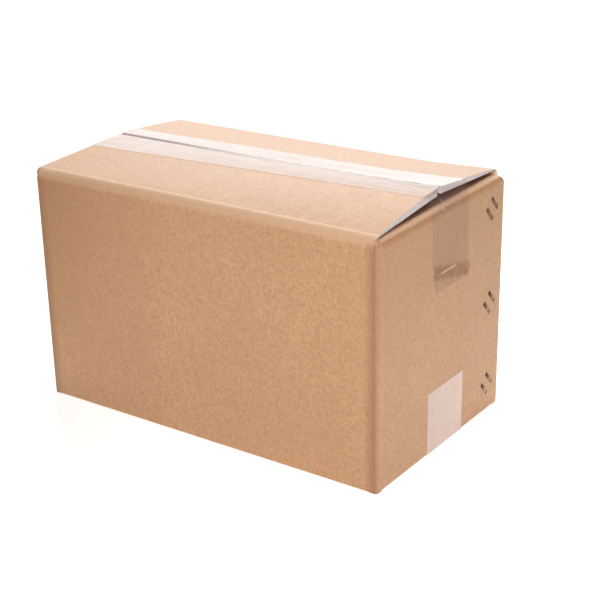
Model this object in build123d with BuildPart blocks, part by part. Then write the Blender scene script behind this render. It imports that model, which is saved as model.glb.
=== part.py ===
from build123d import *

import math
import os

# A closed shipping carton: one folded corrugated sheet, two strips of clear tape and wire stitches.
# X runs along the box, the near long wall is at -Y, Z is up, and the origin is at the bottom centre.
# Three values in brackets are (left end, bend, right end). The top flaps curl between the bend and the
# right end.

# Carton body, outside sizes. The height is taken at the creases of the long walls.
length = 270.0
width = 155.0
height = 165.0

# Corrugated board and its creases
board = 4.5
crease_inner = 1.0
fold_radius = 2.5
ply_gap = 0.2

# Top outer flaps. Each springs from its crease at an angle, bows, and lifts its free edge above the crease.
flap_bend_x = 85.0
near_spring = (3.2, 13.0, 13.5)
near_rise = (4.4, 9.1, 10.2)
near_crease_lift = (0.0, 0.0, 0.0)
far_spring = (6.5, 8.0, 8.1)
far_rise = (5.2, 10.2, 12.0)
far_crease_lift = (0.7, 0.7, 3.0)
seam_y = (7.5, -4.3, -5.5)
seam_gap = (0.9, 0.4, 0.3)
root_thickness = (board, 1.7, 1.1)
near_left_inset = 0.5
near_right_inset = 2.7
far_left_inset = 2.0
far_right_inset = 0.5
far_flap_skew = 4.5

# Inner flaps, which fold in from the end walls under the outer ones. The right one is higher at its far
# side and sags into the box.
inner_flap_length = 77.5
left_inner_dip = 3.0
right_inner_dip = 22.0
right_crease_drop = 1.8
right_crease_skew = 2.0
bottom_inner_lift = 15.0

# Bottom outer flaps. Their ends are pinched thin and stop short of the end walls, which reach the floor.
bottom_fold_radius = 1.2
bottom_seam_gap = 0.6
pinched_thickness = 1.4
corner_lift = 0.3

# Stitched lap joint at the back right corner
tab_length = 36.0
tab_taper = 4.0
tab_bottom = 10.0
tab_top_drop = 8.0
worn_corner_radius = 7.0

# Near right corner, which stands up between its two folds and leans in with them
near_corner_rise = 3.0
near_corner_lean = 15.0

# Flat wire stitches, in parallel pairs across the lap joint
stitch_length = 11.6
stitch_angle = -47.0
stitch_pair_spacing = 8.6
stitch_from_back = 15.5
stitch_heights = (20.2, height / 2 - 3.1, height - 20.5)
wire_width = 2.4
wire_thickness = 0.5
wire_bend = 0.4
clinch_length = 4.0
wire_clearance = 0.05

# Clear tape
tape_width = 45.0
tape_thickness = 0.06
tape_bend = 0.35
glue_line = 0.1
top_tape_y = 1.1
left_tail_length = 48.0
left_tail_drift = 0.0
right_tail_length = 56.0
right_tail_drift = 8.0
bottom_tape_y = 5.5
bottom_tail_length = 43.0

# Places that follow from the sizes above
LEFT, BEND, RIGHT = 0, 1, 2
NEAR, FAR = -1, 1
half_length = length / 2
half_width = width / 2
crease_outer = crease_inner + board
inner_half_width = half_width - crease_outer
underside = tape_thickness
film_top = glue_line + tape_thickness
crease_start = height - crease_outer
left_crease = height - board - ply_gap
right_crease = height - right_crease_drop
raw_corner_top = right_crease + right_crease_skew
inner_run_per_lift = inner_flap_length / bottom_inner_lift
bottom_flap_inset = (pinched_thickness + ply_gap) * inner_run_per_lift
pinch_length = (board - pinched_thickness + ply_gap) * inner_run_per_lift
ring_top = left_crease - 2 * crease_outer
ring_bottom = underside + 2 * crease_outer
lap_x = half_length - board - ply_gap
lap_depth = 2 * board + ply_gap
tab_root_y = half_width - board - crease_inner
tab_tip_y = tab_root_y - tab_length
tab_top = height - tab_top_drop
stations = [Plane.YZ.offset(x) for x in (-half_length, flap_bend_x, half_length)]


def crease_lift(side, station):
    """How far the crease of a top flap stands above the height of the box at one station."""
    return near_crease_lift[station] if side == NEAR else far_crease_lift[station]


def flap_face_line(side, station, lift=0.0):
    """The outer face of a top flap, seen at one station along the box, from its crease to its free edge."""
    spring = near_spring[station] if side == NEAR else far_spring[station]
    rise = near_rise[station] if side == NEAR else far_rise[station]
    angle = math.radians(spring)
    crease_center = Vector(side * inner_half_width, crease_start + crease_lift(side, station) + lift)
    root = crease_center + Vector(side * math.sin(angle), math.cos(angle)) * crease_outer
    edge = Vector(seam_y[station] + side * seam_gap[station] / 2, height + rise + lift)
    return TangentArc(root, edge, tangent=(-side * math.cos(angle), math.sin(angle)))


def flap_section(side, station):
    """Section through a top flap, its rounded crease and the top of its long wall."""
    outer_y = side * half_width
    inner_y = side * (half_width - board)
    turn_z = crease_start + crease_lift(side, station)
    with BuildSketch(stations[station]) as section:
        with BuildLine():
            face = flap_face_line(side, station)
            TangentArc((outer_y, turn_z), face @ 0, tangent=(0, 1))
            Polyline(
                face @ 1,
                face @ 1 - Vector(0, board),
                (inner_y, turn_z + crease_outer - root_thickness[station]),
                (inner_y, ring_top),
                (outer_y, ring_top),
                (outer_y, turn_z),
            )
        make_face()
    return section.sketch


def folded_profile(plane, wall, crease, tip, radius):
    """Section through a flap folded in from a wall: a strip of board round a crease."""
    turn = (crease[0] - wall[0]) * (tip[1] - crease[1]) - (crease[1] - wall[1]) * (tip[0] - crease[0])
    with BuildSketch(plane) as profile:
        with BuildLine():
            outer = FilletPolyline(wall, crease, tip, radius=radius)
            offset(outer, amount=board, side=Side.LEFT if turn > 0 else Side.RIGHT)
        make_face()
    return profile.sketch


def top_inner_profile(end_side, side):
    """Section through a top inner flap and the top of its end wall, at one side of the box."""
    wall_x = end_side * half_length
    if end_side < 0:
        crease_z = left_crease
        dip = left_inner_dip
    else:
        crease_z = right_crease if side == NEAR else raw_corner_top
        dip = right_inner_dip
    tip = (wall_x - end_side * inner_flap_length, crease_z - dip)
    plane = Plane.XZ.offset(-side * inner_half_width)
    return folded_profile(plane, (wall_x, ring_top), (wall_x, crease_z), tip, crease_outer)


def wall_strip(z):
    """The four walls in plan: one strip from the right end wall's raw edge to the root of the joint tab."""
    with BuildSketch(Plane.XY.offset(z)) as strip:
        with BuildLine():
            outer = FilletPolyline(
                (half_length, half_width),
                (half_length, -half_width),
                (-half_length, -half_width),
                (-half_length, half_width),
                (lap_x, half_width),
                (lap_x, tab_root_y),
                radius=fold_radius,
            )
            inner = FilletPolyline(
                (half_length - board, half_width),
                (half_length - board, -half_width + board),
                (-half_length + board, -half_width + board),
                (-half_length + board, half_width - board),
                (lap_x - board, half_width - board),
                (lap_x - board, tab_root_y),
                radius=crease_inner / 2,
            )
            Line(outer @ 0, inner @ 0)
            Line(outer @ 1, inner @ 1)
        make_face()
    return strip.sketch


def corner_posts(z):
    """The parts of the wall strip that turn the four upright corners, in plan."""
    with BuildSketch(Plane.XY.offset(z)) as posts:
        with GridLocations(length, width, 2, 2):
            Rectangle(2 * crease_outer, 2 * crease_outer)
        add(wall_strip(z), mode=Mode.INTERSECT)
    return posts.sketch


# One wire stitch, lying on the plane XY with its legs pointing down
with BuildPart() as stitch:
    with BuildSketch(Plane.XZ) as wire_outline:
        with Locations((0, -lap_depth / 2)):
            Rectangle(stitch_length, lap_depth + 2 * wire_thickness)
            fillet(wire_outline.vertices(), radius=wire_bend)
            Rectangle(stitch_length - 2 * wire_thickness, lap_depth, mode=Mode.SUBTRACT)
        with Locations((0, -lap_depth)):
            Rectangle(stitch_length - 2 * clinch_length, 4 * wire_thickness, mode=Mode.SUBTRACT)
    extrude(amount=wire_width / 2, both=True)

# The two holes that a stitch's legs make in the board
with BuildPart() as leg_holes:
    with Locations((0, 0, -lap_depth / 2)):
        with GridLocations(stitch_length - wire_thickness, 1, 2, 1):
            Box(wire_thickness + 2 * wire_clearance, wire_width + 2 * wire_clearance, lap_depth + 2 * board)

# Where the stitches sit on the right end wall
wire_run = Vector(0, math.cos(math.radians(stitch_angle)), math.sin(math.radians(stitch_angle)))
wire_across = Vector(1, 0, 0).cross(wire_run)
stitch_places = []
for stitch_z in stitch_heights:
    for step in (-0.5, 0.5):
        place = Vector(half_length, half_width - stitch_from_back, stitch_z)
        place += wire_across * (step * stitch_pair_spacing)
        stitch_places.append(Plane(origin=place, x_dir=wire_run, z_dir=(1, 0, 0)).location)

# The carton
with BuildPart() as carton:
    # The two top outer flaps run from end to end, higher at the right, and meet along a skewed seam.
    for flap_side in (NEAR, FAR):
        loft([flap_section(flap_side, station) for station in (LEFT, BEND, RIGHT)], ruled=True)

    # Their ends are cut back from the end walls, the far one on the skew.
    near_left_x = near_left_inset - half_length
    near_right_x = half_length - near_right_inset
    far_left_x = far_left_inset - half_length
    far_right_x = half_length - far_right_inset
    with BuildSketch(Plane.XY.offset(ring_top)) as flap_outline:
        with BuildLine():
            Polyline(
                (near_left_x, -half_width),
                (near_right_x, -half_width),
                (near_right_x, seam_y[RIGHT]),
                (far_right_x, seam_y[RIGHT]),
                (far_right_x - far_flap_skew, half_width),
                (far_left_x, half_width),
                (far_left_x, seam_y[LEFT]),
                (near_left_x, seam_y[LEFT]),
                close=True,
            )
        make_face()
        near_corners = flap_outline.vertices().group_by(Axis.Y)[0]
        far_left_corner = flap_outline.vertices().group_by(Axis.Y)[-1].sort_by(Axis.X)[0]
        fillet([*near_corners, far_left_corner], radius=fold_radius)
    extrude(amount=height, mode=Mode.INTERSECT)

    # The two bottom outer flaps lie flat, slotted at the corners, cut short and pinched at their ends.
    for flap_side in (NEAR, FAR):
        wall = (flap_side * half_width, ring_bottom)
        crease = (flap_side * half_width, underside)
        tip = (flap_side * bottom_seam_gap / 2, underside)
        flap = folded_profile(Plane.YZ, wall, crease, tip, bottom_fold_radius)
        extrude(flap, amount=half_length, both=True)
    with BuildSketch(Plane.XY) as bottom_slots:
        with GridLocations(length, width, 2, 2):
            Rectangle(2 * crease_outer, 2 * crease_outer)
        with GridLocations(length, 1, 2, 1):
            Rectangle(2 * bottom_flap_inset, width - 2 * board)
    extrude(amount=ring_bottom, mode=Mode.SUBTRACT)
    with BuildSketch(Plane.XZ) as pinch:
        for end_side in (-1, 1):
            flap_x = end_side * (half_length - bottom_flap_inset)
            with BuildLine():
                Polyline(
                    (flap_x, underside + pinched_thickness),
                    (flap_x, underside + board),
                    (flap_x - end_side * pinch_length, underside + board),
                    close=True,
                )
            make_face()
    extrude(amount=inner_half_width, both=True, mode=Mode.SUBTRACT)

    # The walls stand between the creases, and the upright corners run on past them.
    extrude(wall_strip(ring_bottom), amount=ring_top - ring_bottom)
    extrude(corner_posts(underside + corner_lift), amount=ring_bottom - underside - corner_lift)
    extrude(corner_posts(ring_top), amount=crease_start - ring_top)
    with BuildSketch(Plane.XY.offset(crease_start)) as near_corner:
        with Locations((half_length, -half_width)):
            Rectangle(2 * crease_outer, 2 * crease_outer)
        add(wall_strip(crease_start), mode=Mode.INTERSECT)
    extrude(amount=near_corner_rise, taper=near_corner_lean)

    # Each end wall turns in at its top and its bottom to an inner flap.
    for end_side in (-1, 1):
        loft([top_inner_profile(end_side, side) for side in (NEAR, FAR)], ruled=True)
        wall_x = end_side * half_length
        tip = (wall_x - end_side * inner_flap_length, underside + bottom_inner_lift)
        flap = folded_profile(Plane.XZ, (wall_x, ring_bottom), (wall_x, underside), tip, bottom_fold_radius)
        extrude(flap, amount=inner_half_width, both=True)

    # The raw upper corner of the right end wall is rolled over with its crease and worn round.
    with BuildSketch(Plane.XZ.offset(-inner_half_width)) as raw_corner:
        add(top_inner_profile(1, FAR))
        with Locations((half_length, raw_corner_top)):
            Rectangle(board, raw_corner_top - crease_start, align=(Align.MAX, Align.MAX), mode=Mode.INTERSECT)
    extrude(amount=-crease_outer)
    with BuildSketch(stations[RIGHT]) as worn_away:
        with Locations((half_width, raw_corner_top)):
            Rectangle(worn_corner_radius, worn_corner_radius, align=(Align.MAX, Align.MAX))
        with Locations((half_width - worn_corner_radius, raw_corner_top - worn_corner_radius)):
            Circle(worn_corner_radius, mode=Mode.SUBTRACT)
    extrude(amount=-board - ply_gap / 2, mode=Mode.SUBTRACT)

    # The joint tab lies flat behind the right end wall, with its corners cut on the slant.
    with BuildSketch(Plane.YZ.offset(lap_x)) as tab:
        with BuildLine():
            Polyline(
                (half_width - board, tab_bottom),
                (tab_tip_y, tab_bottom + tab_taper),
                (tab_tip_y, tab_top - tab_taper),
                (half_width - board, tab_top),
                close=True,
            )
        make_face()
    extrude(amount=-board)

    # The stitches' legs pass through the end wall and the tab.
    with Locations(*stitch_places):
        add(leg_holes.part, mode=Mode.SUBTRACT)

# The stitches
with BuildPart() as stitches:
    with Locations(*stitch_places):
        add(stitch.part)

# The bottom tape runs under the seam and up both end walls.
with BuildPart() as bottom_tape:
    with BuildSketch(Plane.XZ.offset(-bottom_tape_y)) as bottom_film:
        with BuildLine():
            film_line = FilletPolyline(
                (-half_length, bottom_tail_length),
                (-half_length, underside),
                (half_length, underside),
                (half_length, bottom_tail_length),
                radius=tape_bend,
            )
            offset(film_line, amount=tape_thickness, side=Side.RIGHT)
        make_face()
    extrude(amount=tape_width / 2, both=True)


def gable_film(station):
    """The film of tape where it lies on both top flaps, before it is cut to width, seen at one station."""
    with BuildSketch(stations[station]) as section:
        with BuildLine():
            near_under = flap_face_line(NEAR, station, lift=glue_line)
            far_under = flap_face_line(FAR, station, lift=glue_line)
            near_over = flap_face_line(NEAR, station, lift=film_top)
            far_over = flap_face_line(FAR, station, lift=film_top)
            Line(near_under @ 1, far_under @ 1)
            Line(near_over @ 1, far_over @ 1)
            Line(near_under @ 0, near_over @ 0)
            Line(far_under @ 0, far_over @ 0)
        make_face()
    return section.sketch


def tape_tail(station, tail_length, drift):
    """The tail of the top tape on an end wall, from its lower end up to the film on the flaps."""
    tail_z = height - tail_length
    near_y = top_tape_y - tape_width / 2
    far_y = top_tape_y + tape_width / 2
    with BuildSketch(stations[station]) as tail:
        with BuildLine():
            near_over = flap_face_line(NEAR, station, lift=film_top)
            far_over = flap_face_line(FAR, station, lift=film_top)
            Line(near_over @ 1, far_over @ 1)
            Polyline(near_over @ 0, near_over @ 0 + (0, -height), far_over @ 0 + (0, -height), far_over @ 0)
        make_face()
        with BuildLine():
            Polyline(
                (near_y, 2 * height),
                (near_y, height),
                (near_y + drift, tail_z),
                (far_y + drift, tail_z),
                (far_y, height),
                (far_y, 2 * height),
                close=True,
            )
        make_face(mode=Mode.INTERSECT)
    return tail.sketch


# The top tape lies on both flaps across the seam and turns down over the end walls.
with BuildPart() as top_tape:
    loft([gable_film(station) for station in (LEFT, BEND, RIGHT)], ruled=True)
    with BuildSketch(Plane.XY.offset(height)) as top_strip:
        with Locations((0, top_tape_y)):
            Rectangle(length, tape_width)
    extrude(amount=height, mode=Mode.INTERSECT)
    extrude(tape_tail(LEFT, left_tail_length, left_tail_drift), amount=-tape_thickness)
    extrude(tape_tail(RIGHT, right_tail_length, right_tail_drift), amount=tape_thickness)

os.makedirs("parts", exist_ok=True)
for name, piece in {
    "carton": carton,
    "top_tape": top_tape,
    "bottom_tape": bottom_tape,
    "stitches": stitches,
}.items():
    piece.part.label = name
    export_step(piece.part, f"parts/{name}.step")
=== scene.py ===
# %% [markdown]
# # A taped cardboard parcel
# This lesson dresses a small shipping carton: one folded sheet of brown board, two strips of clear tape and
# six wire stitches. They stay where they are, and everything else in the lesson is fitted to them, in
# metres, with X along the box and Z up.

import math

import bmesh
import bpy
from mathutils import Matrix, Vector


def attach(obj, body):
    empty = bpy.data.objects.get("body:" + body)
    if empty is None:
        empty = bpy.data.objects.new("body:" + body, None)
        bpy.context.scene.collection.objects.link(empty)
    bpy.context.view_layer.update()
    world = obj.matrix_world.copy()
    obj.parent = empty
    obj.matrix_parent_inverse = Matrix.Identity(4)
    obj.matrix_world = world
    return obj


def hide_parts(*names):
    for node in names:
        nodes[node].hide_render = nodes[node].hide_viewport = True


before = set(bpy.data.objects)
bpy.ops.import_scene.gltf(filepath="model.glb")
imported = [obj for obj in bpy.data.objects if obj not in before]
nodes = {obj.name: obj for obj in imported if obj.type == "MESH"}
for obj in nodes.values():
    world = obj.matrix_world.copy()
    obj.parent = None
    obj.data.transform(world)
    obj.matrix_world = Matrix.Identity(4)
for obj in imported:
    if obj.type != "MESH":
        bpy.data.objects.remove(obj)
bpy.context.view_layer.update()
MM = 0.001
print("solids:", ", ".join(sorted(nodes)))

# %% [markdown]
# ## The camera
# A camera is an object like any other: its position and its three axes decide what it sees. The angles here
# are those of a long lens that looks down on the near corner of the box. Blender's camera looks along its own
# -Z, so the third axis points from the box back to the lens. A small roll about that axis levels the picture.

# %% Place the camera
AZIMUTH = math.radians(35.337)
ELEVATION = math.radians(21.767)
ROLL = math.radians(-1.0805)
CAMERA_PLACE = (0.524593, -0.703900, 0.422920)
LENS_MM = 82.98
SENSOR_MM = 36

level = Vector((math.cos(AZIMUTH), math.sin(AZIMUTH), 0))
back = Vector(
    (
        math.sin(AZIMUTH) * math.cos(ELEVATION),
        -math.cos(AZIMUTH) * math.cos(ELEVATION),
        math.sin(ELEVATION),
    )
)
upright = back.cross(level)
right = level * math.cos(ROLL) + upright * math.sin(ROLL)
up = upright * math.cos(ROLL) - level * math.sin(ROLL)
turn = Matrix((right, up, back)).transposed().to_4x4()

scene = bpy.context.scene
lens = bpy.data.cameras.new("camera")
lens.lens = LENS_MM
lens.sensor_width = SENSOR_MM
camera = bpy.data.objects.new("camera", lens)
scene.collection.objects.link(camera)
camera.matrix_world = Matrix.Translation(CAMERA_PLACE) @ turn
scene.camera = camera
print("camera at", [round(c, 3) for c in camera.location])

# %% [markdown]
# ## Floor and light
# The parcel stands on a pale studio floor under a weak, even world, which fills the shadows. A Light Path
# node shows the camera plain white in place of that world. The standard view transform shows colours as they
# are mixed.

# %% Lay the floor and the world
WHITE = (1.0, 1.0, 1.0, 1)
WORLD_LIGHT = 0.05
WORLD_SEEN = 1.0

bpy.ops.object.select_all(action="DESELECT")
bpy.ops.mesh.primitive_plane_add(size=8, location=(0, 0, 0))
floor = bpy.context.active_object
floor.name = "floor"

scene.view_settings.view_transform = "Standard"
scene.world = bpy.data.worlds.new("studio")
scene.world.use_nodes = True
studio = scene.world.node_tree
sky = studio.nodes["Background"]
seen = studio.nodes.new("ShaderNodeLightPath")
strength = studio.nodes.new("ShaderNodeMix")
strength.inputs["A"].default_value = WORLD_LIGHT
strength.inputs["B"].default_value = WORLD_SEEN
studio.links.new(seen.outputs["Is Camera Ray"], strength.inputs["Factor"])
studio.links.new(strength.outputs["Result"], sky.inputs["Strength"])
sky.inputs["Color"].default_value = WHITE
print("staged:", floor.name, "under", scene.world.name)

# %% [markdown]
# Two large lamps light the parcel: one high on the right, before the box, and one behind it, where the lifted
# flaps and the shiny film catch its glare. A small lamp stands low by the near corner.


# %% Set the lamps
def soft_lamp(name, place, aim, size, power):
    """A large square lamp at a place, turned to face a point, which the camera doesn't see."""
    light = bpy.data.lights.new(name, "AREA")
    light.size = size
    light.energy = power
    lamp = bpy.data.objects.new(name, light)
    scene.collection.objects.link(lamp)
    lamp.location = place
    lamp.rotation_euler = (Vector(aim) - Vector(place)).to_track_quat("-Z", "Y").to_euler()
    lamp.visible_camera = False
    return lamp


lamps = [
    soft_lamp("key_lamp", place=(0.7, -0.72, 1.15), aim=(0, 0, 0.1), size=0.9, power=15.2),
    soft_lamp("back_lamp", place=(-0.65, 1.3, 1.12), aim=(0, 0, 0.17), size=1.4, power=45.5),
    soft_lamp("near_lamp", place=(0.3, -0.45, 0.12), aim=(0.1, -0.05, 0.06), size=0.3, power=0.22),
]
print("lamps:", [lamp.name for lamp in lamps])

# %% [markdown]
# ## Helpers for node trees
# A material is a small graph of nodes. Adding each node by hand takes several lines, so helpers do it. Each
# fills a node's sockets, with numbers or with links from other nodes, and most give back the one output that
# matters.


# %% Node helpers
def feed(tree, socket, value):
    """Fills a socket with a number or a colour, or links it to another node's output."""
    if isinstance(value, bpy.types.NodeSocket):
        tree.links.new(value, socket)
    else:
        socket.default_value = value


def add_node(tree, kind, sockets=None, **settings):
    """Adds a node, sets its properties and fills its sockets."""
    made = tree.nodes.new(kind)
    for key, value in settings.items():
        setattr(made, key, value)
    for key, value in (sockets or {}).items():
        feed(tree, made.inputs[key], value)
    return made


def calc(tree, operation, *values, clamp=False):
    """The result of a Math node."""
    made = add_node(tree, "ShaderNodeMath", dict(enumerate(values)), operation=operation, use_clamp=clamp)
    return made.outputs[0]


def times(tree, first, *others):
    """The product of several values."""
    for other in others:
        first = calc(tree, "MULTIPLY", first, other)
    return first


def ramp(tree, value, start, stop, low=0.0, high=1.0):
    """Runs from low to high while a value runs from start to stop, and stays level outside them."""
    ends = {"Value": value, "From Min": start, "From Max": stop, "To Min": low, "To Max": high}
    return add_node(tree, "ShaderNodeMapRange", ends).outputs["Result"]


def blend_colours(tree, mask, below, above):
    """Lays one colour over another where a mask is white. Sockets 6 and 7 of a Mix node hold its colours."""
    made = add_node(tree, "ShaderNodeMix", data_type="RGBA")
    feed(tree, made.inputs["Factor"], mask)
    feed(tree, made.inputs[6], below)
    feed(tree, made.inputs[7], above)
    return made.outputs[2]


print("node helpers ready")

# %% [markdown]
# ## Two shared effects
# Board, film and wire all vary a little over their surface, and all have marks along lines. Each of these
# effects is a node group, built once. *Mottle* turns noise into a value between two limits. *Stripe* is white
# inside a stripe of a coordinate and fades to black at its sides.


# %% Build the shared node groups
def start_group(name, output, **inputs):
    """A new shader node group with one output, and its two end nodes."""
    group = bpy.data.node_groups.new(name, "ShaderNodeTree")
    for label, kind in inputs.items():
        group.interface.new_socket(label.replace("_", " "), in_out="INPUT", socket_type="NodeSocket" + kind)
    group.interface.new_socket(output, in_out="OUTPUT", socket_type="NodeSocketFloat")
    return group, group.nodes.new("NodeGroupInput").outputs, group.nodes.new("NodeGroupOutput").inputs


mottle, given, result = start_group(
    "Mottle", "Value", Vector="Vector", Scale="Float", Detail="Float", Low="Float", High="Float"
)
grain = {"Vector": given["Vector"], "Scale": given["Scale"], "Detail": given["Detail"]}
noise = add_node(mottle, "ShaderNodeTexNoise", grain).outputs["Fac"]
spread = ramp(mottle, noise, start=0.3, stop=0.7, low=given["Low"], high=given["High"])
feed(mottle, result["Value"], spread)

stripe, given, result = start_group(
    "Stripe", "Mask", Coordinate="Float", Centre="Float", Half_Width="Float", Softness="Float"
)
away = calc(stripe, "SUBTRACT", given["Coordinate"], given["Centre"])
inside = calc(stripe, "SUBTRACT", given["Half Width"], calc(stripe, "ABSOLUTE", away))
inside = calc(stripe, "DIVIDE", inside, given["Softness"])
feed(stripe, result["Mask"], calc(stripe, "ADD", inside, 0.5, clamp=True))
print("groups:", mottle.name, stripe.name)

# %% [markdown]
# A group is placed in a material as a node. These helpers place the two groups, start a material, and dress a
# piece with one. Every texture follows Object coordinates, which are metres on the part itself.


# %% Helpers for materials
def speckle(tree, place, scale, detail, low=0.0, high=1.0):
    """Places Mottle in a material."""
    sockets = {"Vector": place, "Scale": scale, "Detail": detail, "Low": low, "High": high}
    return add_node(tree, "ShaderNodeGroup", sockets, node_tree=mottle).outputs["Value"]


def band(tree, coordinate, centre, half_width, softness):
    """Places Stripe in a material."""
    sockets = {"Coordinate": coordinate, "Centre": centre, "Half Width": half_width, "Softness": softness}
    return add_node(tree, "ShaderNodeGroup", sockets, node_tree=stripe).outputs["Mask"]


def start_material(name):
    """A new material, its node tree, its shader's sockets and the place on the object."""
    made = bpy.data.materials.new(name)
    made.use_nodes = True
    tree = made.node_tree
    place = add_node(tree, "ShaderNodeTexCoord").outputs["Object"]
    return made, tree, tree.nodes["Principled BSDF"].inputs, place


def split(tree, vector):
    """The three parts of a vector."""
    return add_node(tree, "ShaderNodeSeparateXYZ", {"Vector": vector}).outputs


def stretch(tree, place, scale):
    """Places scaled along each axis, which draws a texture out along the axes with small scales."""
    return add_node(tree, "ShaderNodeMapping", {"Vector": place, "Scale": scale}).outputs["Vector"]


def dress(piece, material):
    """Gives a piece one material."""
    piece.data.materials.clear()
    piece.data.materials.append(material)


print("material helpers ready")

# %% [markdown]
# ## Kraft board
# Kraft paper is brown, matt and full of short fibres, so its colour is a fine fleck with fibres over broad,
# weak clouds.

# %% Flecks, fibres and clouds
FLECK_DARK = (0.44, 0.222, 0.101, 1)
FLECK_PALE = (0.64, 0.355, 0.178, 1)
FIBRE = (0.64, 0.37, 0.20, 1)
CLOUD = (0.48, 0.25, 0.115, 1)


def kraft_brown(tree, place):
    """The brown of clean board, and the flecks and fibres in it."""
    flecks = speckle(tree, place, scale=560, detail=5)
    fibres = speckle(tree, stretch(tree, place, (1.0, 1.0, 0.3)), scale=900, detail=3)
    clouds = speckle(tree, place, scale=14, detail=4)
    brown = blend_colours(tree, flecks, FLECK_DARK, FLECK_PALE)
    brown = blend_colours(tree, times(tree, fibres, 0.35), brown, FIBRE)
    brown = blend_colours(tree, times(tree, clouds, 0.35), brown, CLOUD)
    return brown, flecks, fibres


print("clean board ready")

# %% [markdown]
# Along the upright folds a painted shade darkens the board, where shade falls on their rounded corners.
# corner, from the front to the end wall, places that band. The joint with its raw edge has no such fold.
# A painted shade darkens the upper left of the front and the top of the stitched end wall a little.

# %% Painted shade at the folds and on the walls
# The next two browns are painted shade: along the upright folds, and on the upper left of the front and the
# end wall's top.
FOLD_SHADE = (0.25, 0.115, 0.05, 1)
WALL_SHADE = (0.33, 0.145, 0.05, 1)
HALF_LENGTH = 135 * MM
HALF_WIDTH = 77.5 * MM
FOLD_AT = 132.9 * MM


def shaded_folds(tree, x, y, z, brown):
    """Painted shade in dark bands along the three upright folds."""
    far_x = calc(tree, "ABSOLUTE", x)
    far_y = calc(tree, "ABSOLUTE", y)
    round_fold = calc(tree, "ADD", far_x, calc(tree, "SUBTRACT", HALF_WIDTH, far_y))
    before = ramp(tree, round_fold, start=FOLD_AT - 7.5 * MM, stop=FOLD_AT)
    after = ramp(tree, round_fold, start=FOLD_AT, stop=FOLD_AT + 5 * MM, low=1.0, high=0.0)
    at_joint = calc(tree, "GREATER_THAN", calc(tree, "MINIMUM", x, y), 0.0)
    fold_shade = calc(tree, "SUBTRACT", calc(tree, "MINIMUM", before, after), at_joint, clamp=True)
    below_flaps = ramp(tree, z, start=160 * MM, stop=164 * MM, low=1.0, high=0.0)
    at_corner = calc(tree, "GREATER_THAN", calc(tree, "ADD", far_x, far_y), 198 * MM)
    return blend_colours(tree, times(tree, fold_shade, below_flaps, at_corner, 0.66), brown, FOLD_SHADE)


def shaded_walls(tree, x, z, facing, brown):
    """Painted shade: browner board at the front's upper left and at the top of the stitched end wall."""
    leftward = ramp(tree, x, start=-HALF_LENGTH, stop=-20 * MM, low=0.66, high=0.0)
    upward = ramp(tree, z, start=30 * MM, stop=150 * MM, low=0.25, high=1.0)
    on_front = calc(tree, "LESS_THAN", facing["Y"], -0.7)
    end_height = ramp(tree, z, start=60 * MM, stop=155 * MM, low=0.0, high=0.26)
    on_end = calc(tree, "GREATER_THAN", facing["X"], 0.7)
    wall_shade = times(tree, leftward, upward, on_front)
    wall_shade = calc(tree, "MULTIPLY_ADD", end_height, on_end, wall_shade)
    return blend_colours(tree, wall_shade, brown, WALL_SHADE)


print("fold and wall shade ready")

# %% [markdown]
# The creases above the walls are pale with a painted highlight, where light catches their rounded tops. The
# one over the stitched end wall climbs towards the back and stops short of the near corner. The ones over the
# long walls are the rounded roots of the top flaps.

# %% Painted highlights on the creases
# The next two pale colours are painted highlights on the creases.
END_CREASE_HIGHLIGHT = (0.90, 0.62, 0.42, 1)
LONG_CREASE_HIGHLIGHT = (0.86, 0.57, 0.37, 1)
END_CREASE_CLIMB = 0.0129


def highlit_creases(tree, x, y, z, brown):
    """Painted highlights: pale lines along the creases of the stitched end wall and of the long walls."""
    end_crease = calc(tree, "MULTIPLY_ADD", y, -END_CREASE_CLIMB, z)
    end_line = band(tree, end_crease, centre=163 * MM, half_width=1.6 * MM, softness=1.6 * MM)
    at_end = calc(tree, "GREATER_THAN", x, 127.5 * MM)
    off_corner = ramp(tree, y, start=-74.5 * MM, stop=-68.5 * MM)
    brown = blend_colours(tree, times(tree, end_line, at_end, off_corner), brown, END_CREASE_HIGHLIGHT)

    rise = ramp(tree, z, start=158.2 * MM, stop=163.2 * MM)
    fade = ramp(tree, z, start=164 * MM, stop=167 * MM, low=1.0, high=0.0)
    at_side = calc(tree, "GREATER_THAN", calc(tree, "ABSOLUTE", y), 71.5 * MM)
    off_ends = calc(tree, "LESS_THAN", calc(tree, "ABSOLUTE", x), 132.5 * MM)
    return blend_colours(tree, times(tree, rise, fade, at_side, off_ends, 0.6), brown, LONG_CREASE_HIGHLIGHT)


print("crease marks ready")

# %% [markdown]
# Where the board was cut, its paper edge is pale grey. The cut faces are found by their place and their
# normal: the ends of the top flaps, their edges at the seam, and the raw edge of the lap joint.

# %% Cut edges
EDGE_DARK = (0.50, 0.43, 0.40, 1)
EDGE_PALE = (0.66, 0.58, 0.55, 1)
LEFT_FOLD_TOP = 160.4 * MM
RIGHT_FOLD_RISE = 4.8 * MM
RIGHT_FOLD_CLIMB = 0.02


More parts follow.
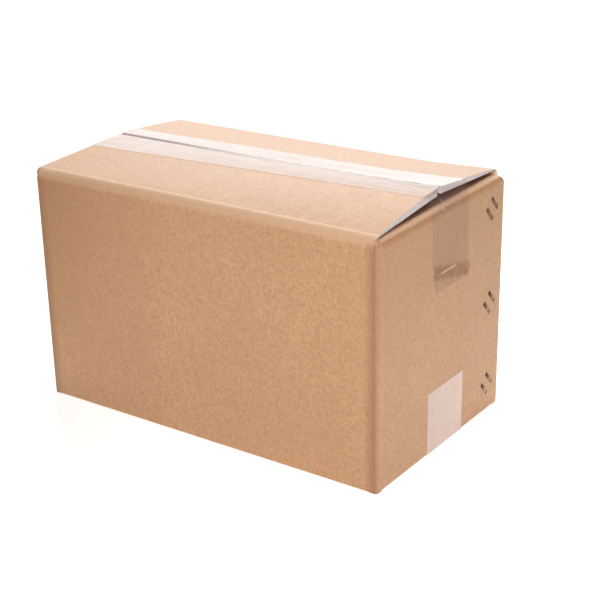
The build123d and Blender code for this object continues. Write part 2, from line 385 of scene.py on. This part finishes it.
def cut_edges(tree, place, facing, brown):
    """Pale grey paper on the faces where the board was cut."""
    x, y, z = split(tree, place)
    at_right = calc(tree, "GREATER_THAN", x, 0.0)
    right_rise = calc(tree, "MULTIPLY_ADD", y, RIGHT_FOLD_CLIMB, RIGHT_FOLD_RISE)
    fold_top = calc(tree, "MULTIPLY_ADD", at_right, right_rise, LEFT_FOLD_TOP)
    faces_end = calc(tree, "GREATER_THAN", calc(tree, "ABSOLUTE", facing["X"]), 0.8)
    flap_end = times(tree, faces_end, calc(tree, "GREATER_THAN", z, fold_top))

    at_joint = calc(tree, "GREATER_THAN", calc(tree, "MINIMUM", x, y), 0.0)
    lap_edge = times(tree, at_joint, calc(tree, "GREATER_THAN", x, 130.4 * MM))
    seam_edge = calc(tree, "LESS_THAN", calc(tree, "ABSOLUTE", y), 20 * MM)
    faces_side = calc(tree, "GREATER_THAN", calc(tree, "ABSOLUTE", facing["Y"]), 0.8)
    raw_edge = times(tree, faces_side, calc(tree, "MAXIMUM", lap_edge, seam_edge))

    pale = blend_colours(tree, speckle(tree, place, scale=600, detail=3), EDGE_DARK, EDGE_PALE)
    return blend_colours(tree, calc(tree, "MAXIMUM", flap_end, raw_edge), brown, pale)


print("cut edges ready")

# %% [markdown]
# The board's material puts these layers together. Flecks and fibres also give it a fine relief, and faint
# slanting streaks a broader one. A little sheen stands for the fuzz of the paper.


# %% Mix the kraft board
def kraft_board():
    """Brown corrugated board with fibres, painted shade at folds and walls, painted crease highlights and cut
    edges.
    """
    made, tree, surface, place = start_material("kraft_board")
    x, y, z = split(tree, place)
    facing = split(tree, add_node(tree, "ShaderNodeNewGeometry").outputs["True Normal"])
    brown, flecks, fibres = kraft_brown(tree, place)
    brown = shaded_folds(tree, x, y, z, brown)
    brown = shaded_walls(tree, x, z, facing, brown)
    brown = highlit_creases(tree, x, y, z, brown)
    feed(tree, surface["Base Color"], cut_edges(tree, place, facing, brown))

    waves = {"Vector": place, "Scale": 44.0, "Distortion": 1.5, "Detail": 2.0}
    streaks = add_node(tree, "ShaderNodeTexWave", waves, wave_type="BANDS", bands_direction="DIAGONAL")
    relief = calc(tree, "MULTIPLY_ADD", fibres, 0.4, flecks)
    relief = calc(tree, "MULTIPLY_ADD", streaks.outputs["Fac"], 0.25, relief)
    bump = add_node(tree, "ShaderNodeBump", {"Height": relief, "Strength": 0.07, "Distance": 0.2 * MM})
    feed(tree, surface["Normal"], bump.outputs["Normal"])
    feed(tree, surface["Roughness"], speckle(tree, place, scale=160, detail=3, low=0.57, high=0.63))
    surface["Sheen Weight"].default_value = 0.6
    surface["Sheen Roughness"].default_value = 0.3
    return made


carton = nodes["carton"]
dress(carton, kraft_board())
print("carton faces:", len(carton.data.polygons))

# %% [markdown]
# ## The top tape
# The strip of tape is one thin film. It lies over both flaps, crosses the gap in front of them and sticks to
# the end walls. It could be one flat sheet bent by hand, but it has to lie on flaps that twist. So a fine
# grid is dropped onto the measured film by a Shrinkwrap modifier. Stretched film bridges the step at the seam
# on a slope, so the grid's heights are smoothed, and a second Shrinkwrap lifts whatever sank below the
# measured film.

# %% Drop a grid onto the flaps
TAPE_Y = 1.1 * MM
TAPE_WIDTH = 44.8 * MM
TOP_REACH = 134.6 * MM
DROP_FROM = 0.2


def apply_modifier(piece, kind, **settings):
    """Adds a modifier to a piece, sets it and applies it."""
    added = piece.modifiers.new(kind.lower(), kind)
    for key, value in settings.items():
        setattr(added, key, value)
    bpy.ops.object.modifier_apply(modifier=added.name)


def wrap_on_tape(piece, upward):
    """Moves a piece straight up or straight down onto the measured film."""
    apply_modifier(
        piece,
        "SHRINKWRAP",
        target=nodes["top_tape"],
        wrap_method="PROJECT",
        use_project_z=True,
        use_negative_direction=not upward,
        use_positive_direction=upward,
    )


bpy.ops.object.select_all(action="DESELECT")
bpy.ops.mesh.primitive_grid_add(
    x_subdivisions=90, y_subdivisions=80, size=1, location=(0, TAPE_Y, DROP_FROM)
)
top_film = bpy.context.active_object
top_film.name = "top_film"
top_film.scale = (2 * TOP_REACH, TAPE_WIDTH, 1)
bpy.ops.object.transform_apply(location=True, rotation=True, scale=True)
wrap_on_tape(top_film, upward=False)
apply_modifier(top_film, "SMOOTH", factor=0.5, iterations=12, use_x=False, use_y=False)
wrap_on_tape(top_film, upward=True)
heights = [vertex.co.z for vertex in top_film.data.vertices]
print("film on the flaps from", round(min(heights), 4), "to", round(max(heights), 4))

# %% [markdown]
# The two end edges are extruded over the edge and down, row by row. Every row of the visible tail shifts
# sideways a little, because the tape was laid on askew. The near flap ends a little short of the far one, so
# the film's edge is drawn back there.

# %% Hang the two tails
WALL_X = 135.1 * MM
EDGE_X = TOP_REACH - 0.1 * MM
NEAR_FLAP_Y = -5.6 * MM
FLAP_FOOT_Z = 168.5 * MM
DRAWN_BACK = 1.9 * MM


def pick(piece, test):
    """Selects the vertices of a piece in edit mode that pass a test of their place, and counts them."""
    bpy.ops.mesh.select_mode(type="VERT")
    bpy.ops.mesh.select_all(action="DESELECT")
    mesh = bmesh.from_edit_mesh(piece.data)
    for vertex in mesh.verts:
        vertex.select_set(test(vertex.co))
    mesh.select_flush_mode()
    bmesh.update_edit_mesh(piece.data)
    return sum(vertex.select for vertex in mesh.verts)


def hang_tail(side, first_z, last_z, rows, first_drift, drift):
    """Extrudes one end edge of the film over the flaps' ends and down an end wall, row by row."""
    pick(top_film, lambda place: side * place.x > EDGE_X)
    over_edge = {"value": (side * (WALL_X - TOP_REACH), first_drift, -4 * MM)}
    bpy.ops.mesh.extrude_region_move(TRANSFORM_OT_translate=over_edge)
    bpy.ops.transform.resize(value=(1, 1, 0), center_override=(0, 0, first_z))
    down = {"value": (0, drift / rows, (last_z - first_z) / rows)}
    for _ in range(rows):
        bpy.ops.mesh.extrude_region_move(TRANSFORM_OT_translate=down)


bpy.ops.object.mode_set(mode="EDIT")
hang_tail(side=-1, first_z=164 * MM, last_z=117 * MM, rows=16, first_drift=0, drift=0)
hang_tail(side=1, first_z=167 * MM, last_z=109 * MM, rows=29, first_drift=5 * MM, drift=3.2 * MM)
pick(
    top_film,
    lambda place: place.x > EDGE_X and place.y < NEAR_FLAP_Y and place.z > FLAP_FOOT_Z,
)
bpy.ops.transform.translate(value=(-DRAWN_BACK, 0, 0))
bpy.ops.object.mode_set(mode="OBJECT")
print("film vertices:", len(top_film.data.vertices))

# %% [markdown]
# The tail on the stitched end wall was pressed down carelessly. A crease runs down from the ridge of the
# flaps, a second one continues it on the wall, and near the lower end the film is pleated on the slant. Each
# is a line of vertices pulled away from the wall, and proportional editing lets their neighbours follow
# softly.

# %% Crease and pleat the tail
ON_WALL_X = 134.9 * MM


def pull(test, offset, reach):
    """Moves the chosen vertices of the film, and softly those near them."""
    chosen = pick(top_film, lambda place: place.x > ON_WALL_X and test(place))
    bpy.ops.transform.translate(
        value=offset,
        use_proportional_edit=True,
        use_proportional_connected=True,
        proportional_edit_falloff="SMOOTH",
        proportional_size=reach,
    )
    return chosen


def near_line(first, second, reach):
    """A test for places near a line on the end wall between two points, given as y and z in millimetres."""
    a = Vector(first) * MM
    along = Vector(second) * MM - a

    def test(place):
        to_place = Vector((place.y, place.z)) - a
        share = min(1, max(0, to_place.dot(along) / along.length_squared))
        return (to_place - along * share).length < reach

    return test


# Each crease has two ends, the half width of the pulled line, its height and how far its neighbours follow.
CREASES = {
    "below the ridge": ((-7.0, 168), (-3.3, 162), 0.9 * MM, 0.7 * MM, 3 * MM),
    "down the wall": ((-4.4, 158), (-1.8, 126), 0.7 * MM, 0.5 * MM, 2.5 * MM),
    "pleat": ((-13, 124.5), (31, 115), 1.3 * MM, 1.0 * MM, 5 * MM),
    "fold over the pleat": ((-7.5, 121.6), (14, 121.6), 1.1 * MM, 0.7 * MM, 2.2 * MM),
    "lifted near corner": ((-12.5, 117), (-12.5, 109), 1.2 * MM, 1.2 * MM, 3 * MM),
}
bpy.ops.object.mode_set(mode="EDIT")
for name, (first, second, half_width, height, reach) in CREASES.items():
    count = pull(near_line(first, second, half_width), (height, 0, 0), reach)
    print(name + ":", count, "vertices pulled")
bpy.ops.object.mode_set(mode="OBJECT")

# %% [markdown]
# Small wrinkles are too many to pull by hand. A Displace modifier with a cloud texture lifts the tails by a
# fraction of a millimetre, only outwards, so that the film never sinks into the board. Solidify then gives
# the film its real thickness. Shading is smooth except round the film's rim, where the normals must stay
# those of the film.

# %% Wrinkle and thicken the film
WRINKLE_SIZE = 5 * MM
WRINKLE_HEIGHT = 0.2 * MM
WRINKLED_BELOW = 150 * MM
FILM_THICKNESS = 0.06 * MM
RIM_ANGLE = math.radians(80)

bpy.ops.object.mode_set(mode="EDIT")
pick(top_film, lambda place: abs(place.x) > ON_WALL_X and place.z < WRINKLED_BELOW)
bpy.ops.object.vertex_group_assign_new()
bpy.ops.object.mode_set(mode="OBJECT")
tail_group = top_film.vertex_groups[-1]
tail_group.name = "tails"
wrinkles = bpy.data.textures.new("film_wrinkles", "CLOUDS")
wrinkles.noise_scale = WRINKLE_SIZE
apply_modifier(
    top_film,
    "DISPLACE",
    texture=wrinkles,
    texture_coords="LOCAL",
    vertex_group=tail_group.name,
    mid_level=0.0,
    strength=WRINKLE_HEIGHT,
)
apply_modifier(top_film, "SOLIDIFY", thickness=FILM_THICKNESS, offset=1.0)
bpy.ops.object.shade_smooth_by_angle(angle=RIM_ANGLE)
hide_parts("top_tape")
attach(top_film, "root")
print("film triangles:", sum(len(face.vertices) - 2 for face in top_film.data.polygons))

# %% [markdown]
# ## Clear film
# Packing film is clear and glossy with a milky haze. Seen straight on it hides little, and seen at a shallow
# angle it reflects the white room and turns nearly white. Alpha carries both: a hazy base plus Layer Weight,
# which grows as the surface turns away. The top film is also marked in three places, and each mark changes
# its colour and its cover. First, a painted glare whitens the film towards the stitched end, and the tail on
# that wall is clearer and darker.

# %% Film at the stitched end
TAIL_FROM_X = 134.75 * MM
TAIL_COLOUR = (0.45, 0.33, 0.30, 1)


def film_at_end(tree, x, gloss, colour, cover):
    """Film whitened by a painted glare towards the stitched end, clear dark film on its wall, and a mask of
    that wall.
    """
    glare = times(tree, ramp(tree, x, start=20 * MM, stop=120 * MM, low=0.0, high=0.25), gloss)
    colour = blend_colours(tree, glare, colour, WHITE)
    on_wall = calc(tree, "GREATER_THAN", x, TAIL_FROM_X)
    colour = blend_colours(tree, on_wall, colour, TAIL_COLOUR)
    cover = times(tree, cover, calc(tree, "MULTIPLY_ADD", on_wall, -0.8, 1.0))
    cover = calc(tree, "MULTIPLY_ADD", on_wall, 0.045, cover)
    return on_wall, colour, cover


print("film at the stitched end ready")

# %% [markdown]
# Second, the film is stretched over the step at the seam. The seam is two straight lines in plan, and the
# larger y of the two is the seam. A painted shade makes the left part of the step lilac grey, and a painted
# light makes its right part and the film that bridges it pale, over the shade that falls on the step.

# %% Film over the seam
LEFT_SEAM = {"slope": -0.0548, "offset": 0.555 * MM}
RIGHT_SEAM = {"slope": -0.025, "offset": -1.97 * MM}
SEAM_REACH = TOP_REACH - 2.1 * MM
# The next three colours are painted shade on the step's left and painted light on its right and on the
# bridging film.
SEAM_SHADE = (0.60, 0.52, 0.53, 1)
SEAM_LIGHT = (1.0, 0.93, 0.90, 1)
BRIDGE_LIGHT = (0.95, 0.85, 0.80, 1)


def film_over_seam(tree, x, y, colour, cover):
    """The seam's step, with painted shade on its left and painted light on its right, and the bridging film,
    pale with painted light.
    """
    left_run = calc(tree, "MULTIPLY_ADD", x, LEFT_SEAM["slope"], LEFT_SEAM["offset"])
    right_run = calc(tree, "MULTIPLY_ADD", x, RIGHT_SEAM["slope"], RIGHT_SEAM["offset"])
    past_seam = calc(tree, "SUBTRACT", y, calc(tree, "MAXIMUM", left_run, right_run))
    on_top = calc(tree, "LESS_THAN", calc(tree, "ABSOLUTE", x), SEAM_REACH)
    to_left = ramp(tree, x, start=-90 * MM, stop=30 * MM, low=1.0, high=0.0)

    step = band(tree, past_seam, centre=-0.2 * MM, half_width=1.0 * MM, softness=0.8 * MM)
    step = times(tree, step, on_top)
    colour = blend_colours(tree, step, colour, blend_colours(tree, to_left, SEAM_LIGHT, SEAM_SHADE))
    cover = calc(tree, "MULTIPLY_ADD", step, 0.7, cover, clamp=True)

    bridge = band(tree, past_seam, centre=-0.8 * MM, half_width=1.6 * MM, softness=1.4 * MM)
    bridge = times(tree, bridge, on_top, calc(tree, "SUBTRACT", 1.0, to_left))
    colour = blend_colours(tree, bridge, colour, BRIDGE_LIGHT)
    cover = calc(tree, "MULTIPLY_ADD", bridge, 0.5, cover, clamp=True)
    return colour, cover


print("film over the seam ready")

# %% [markdown]
# Third, on the tail a painted highlight whitens the film along its sharpest creases, and the pleat is darker
# for its doubled film and for a painted shade under it. The lines follow the creases that were pulled above.

# %% Film in the creases
# The pleat's colour is doubled film with a painted shade, and the pale colour is a painted highlight on the
# creases.
PLEAT_FILM_AND_SHADE = (0.36, 0.18, 0.09, 1)
CREASE_HIGHLIGHT = (0.92, 0.80, 0.72, 1)
PLEAT_SLOPE = 0.22
RIDGE_SLOPE = 0.41


def film_in_creases(tree, on_wall, y, z, colour, cover):
    """The pleat, darker for doubled film and painted shade, and painted highlights on the tail's creases,
    where a mask of the wall is white.
    """
    pleat_line = calc(tree, "MULTIPLY_ADD", y, PLEAT_SLOPE, z)
    pleat = band(tree, pleat_line, centre=120.5 * MM, half_width=4.6 * MM, softness=3 * MM)
    pleat = times(tree, pleat, on_wall)
    colour = blend_colours(tree, pleat, colour, PLEAT_FILM_AND_SHADE)

    fold = band(tree, z, centre=121.7 * MM, half_width=0.4 * MM, softness=0.8 * MM)
    fold_run = band(tree, y, centre=3.3 * MM, half_width=10.5 * MM, softness=6 * MM)
    ridge_line = calc(tree, "MULTIPLY_ADD", z, RIDGE_SLOPE, y)
    ridge = band(tree, ridge_line, centre=63.2 * MM, half_width=0.4 * MM, softness=1.0 * MM)
    ridge = times(tree, ridge, calc(tree, "GREATER_THAN", z, 161.5 * MM))
    white = times(tree, calc(tree, "MAXIMUM", times(tree, fold, fold_run), ridge), on_wall)
    colour = blend_colours(tree, white, colour, CREASE_HIGHLIGHT)

    cover = calc(tree, "MULTIPLY_ADD", pleat, 0.12, cover)
    cover = calc(tree, "MULTIPLY_ADD", white, 0.25, cover, clamp=True)
    return colour, cover


print("film in the creases ready")

# %% [markdown]
# The film's material starts from the haze and the gloss, and the top film adds its three marks. The bottom
# film is plain and hazier. A film this thin has two faces close together, and light caught between them would
# turn it white, so almost all of its mirror reflection is left to the gloss in its alpha.

# %% Mix the clear film
GLOSS_COLOUR = (1.0, 0.95, 0.92, 1)


def clear_film(name, haze, streaky, thin, thick, creased):
    """Milky clear tape, with the marks of the top tape if it is creased."""
    made, tree, surface, place = start_material(name)
    x, y, z = split(tree, place)
    drawn_out = stretch(tree, place, (0.12, 1.0, 0.12))
    low, high = (1 - streaky) * haze, (1 + streaky) * haze
    milk = speckle(tree, drawn_out, scale=240, detail=4, low=low, high=high)
    grazing = add_node(tree, "ShaderNodeLayerWeight", {"Blend": 0.5}).outputs["Facing"]
    gloss = ramp(tree, grazing, start=0.538, stop=0.9, low=0.0, high=1.22)
    colour = blend_colours(tree, speckle(tree, place, scale=90, detail=3), thin, thick)
    colour = blend_colours(tree, times(tree, gloss, 0.25), colour, GLOSS_COLOUR)
    cover = calc(tree, "ADD", milk, gloss, clamp=True)
    if creased:
        on_wall, colour, cover = film_at_end(tree, x, gloss, colour, cover)
        colour, cover = film_over_seam(tree, x, y, colour, cover)
        colour, cover = film_in_creases(tree, on_wall, y, z, colour, cover)
    feed(tree, surface["Base Color"], colour)
    feed(tree, surface["Alpha"], cover)

    smear = speckle(tree, drawn_out, scale=120, detail=3, low=0.16, high=0.30)
    feed(tree, surface["Roughness"], smear)
    ripple = add_node(tree, "ShaderNodeBump", {"Height": smear, "Strength": 0.2, "Distance": 0.3 * MM})
    feed(tree, surface["Normal"], ripple.outputs["Normal"])
    surface["Specular IOR Level"].default_value = 0.005
    return made


top_look = {"haze": 0.03, "streaky": 0.2, "thin": (0.67, 0.58, 0.53, 1), "thick": (0.75, 0.66, 0.61, 1)}
bottom_look = {"haze": 0.64, "streaky": 0.04, "thin": (0.98, 0.76, 0.65, 1), "thick": (1.0, 0.80, 0.70, 1)}
bottom_tape = nodes["bottom_tape"]
dress(top_film, clear_film("clear_film", **top_look, creased=True))
dress(bottom_tape, clear_film("hazy_film", **bottom_look, creased=False))
print("films:", [piece.active_material.name for piece in (top_film, bottom_tape)])

# %% [markdown]
# ## Stitch wire
# The stitches are flat steel wire with a thin copper coat. Each has a painted highlight in its middle and
# painted shade at its ends, where it goes into the board. All six slope alike, so one slanted coordinate runs
# along them. The upper pair is dulled to an even brown.

# %% Mix the stitch wire
ALONG_Y = 0.682
ALONG_Z = -0.731
PAIR_CENTRES = (29.0 * MM, -14.3 * MM, -63.3 * MM)
UPPER_PAIR_Z = 120 * MM
# The bright colours are painted highlights for each stitch's middle, and the dark ones painted shade at its
# ends.
COPPER_HIGHLIGHT = (0.46, 0.24, 0.125, 1)
DULLED_HIGHLIGHT = (0.27, 0.125, 0.055, 1)
COPPER_SHADE = (0.05, 0.017, 0.005, 1)
DULLED_SHADE = (0.15, 0.062, 0.024, 1)


def copper_wire():
    """Dull copper-coated steel, with painted highlights in the middles and painted shade at the ends."""
    made, tree, surface, place = start_material("copper_wire")
    _, y, z = split(tree, place)
    along = calc(tree, "MULTIPLY_ADD", z, ALONG_Z, times(tree, y, ALONG_Y))
    middle = 0.0
    for pair_centre in PAIR_CENTRES:
        flat = band(tree, along, centre=pair_centre, half_width=2.4 * MM, softness=3.0 * MM)
        middle = calc(tree, "MAXIMUM", middle, flat)
    dulled = calc(tree, "GREATER_THAN", z, UPPER_PAIR_Z)
    bright = blend_colours(tree, dulled, COPPER_HIGHLIGHT, DULLED_HIGHLIGHT)
    dark = blend_colours(tree, dulled, COPPER_SHADE, DULLED_SHADE)
    tarnish = speckle(tree, place, scale=500, detail=4, low=0.7, high=1.0)
    feed(tree, surface["Base Color"], blend_colours(tree, times(tree, middle, tarnish), dark, bright))
    feed(tree, surface["Roughness"], speckle(tree, place, scale=350, detail=2, low=0.30, high=0.55))
    surface["Metallic"].default_value = 0.9
    return made


stitches = nodes["stitches"]
dress(stitches, copper_wire())
print("stitch faces:", len(stitches.data.polygons))

# %% [markdown]
# ## The floor's finish
# The floor only has to be pale and plain. A faint mottle keeps it from being a single flat colour. It glows a
# little round the near corner, like a light table, and so lights the walls from below. It glows again far
# off, where the lamps don't reach, so that the background stays pale.

# %% Finish the floor
GLOW_CENTRE = (0.2, -0.25, 0.0)

paint, tree, surface, place = start_material("studio_floor")
feed(tree, surface["Base Color"], speckle(tree, place, scale=3, detail=2, low=0.90, high=0.93))
surface["Roughness"].default_value = 0.8
span = add_node(tree, "ShaderNodeVectorMath", {0: place, 1: GLOW_CENTRE}, operation="DISTANCE")
away = span.outputs["Value"]
near_glow = ramp(tree, away, start=0.1, stop=0.9, low=0.6, high=0.0)
distant_glow = ramp(tree, away, start=0.9, stop=2.2, low=0.0, high=0.9)
feed(tree, surface["Emission Strength"], calc(tree, "ADD", near_glow, distant_glow))
surface["Emission Color"].default_value = WHITE
dress(floor, paint)
print("floor finished")
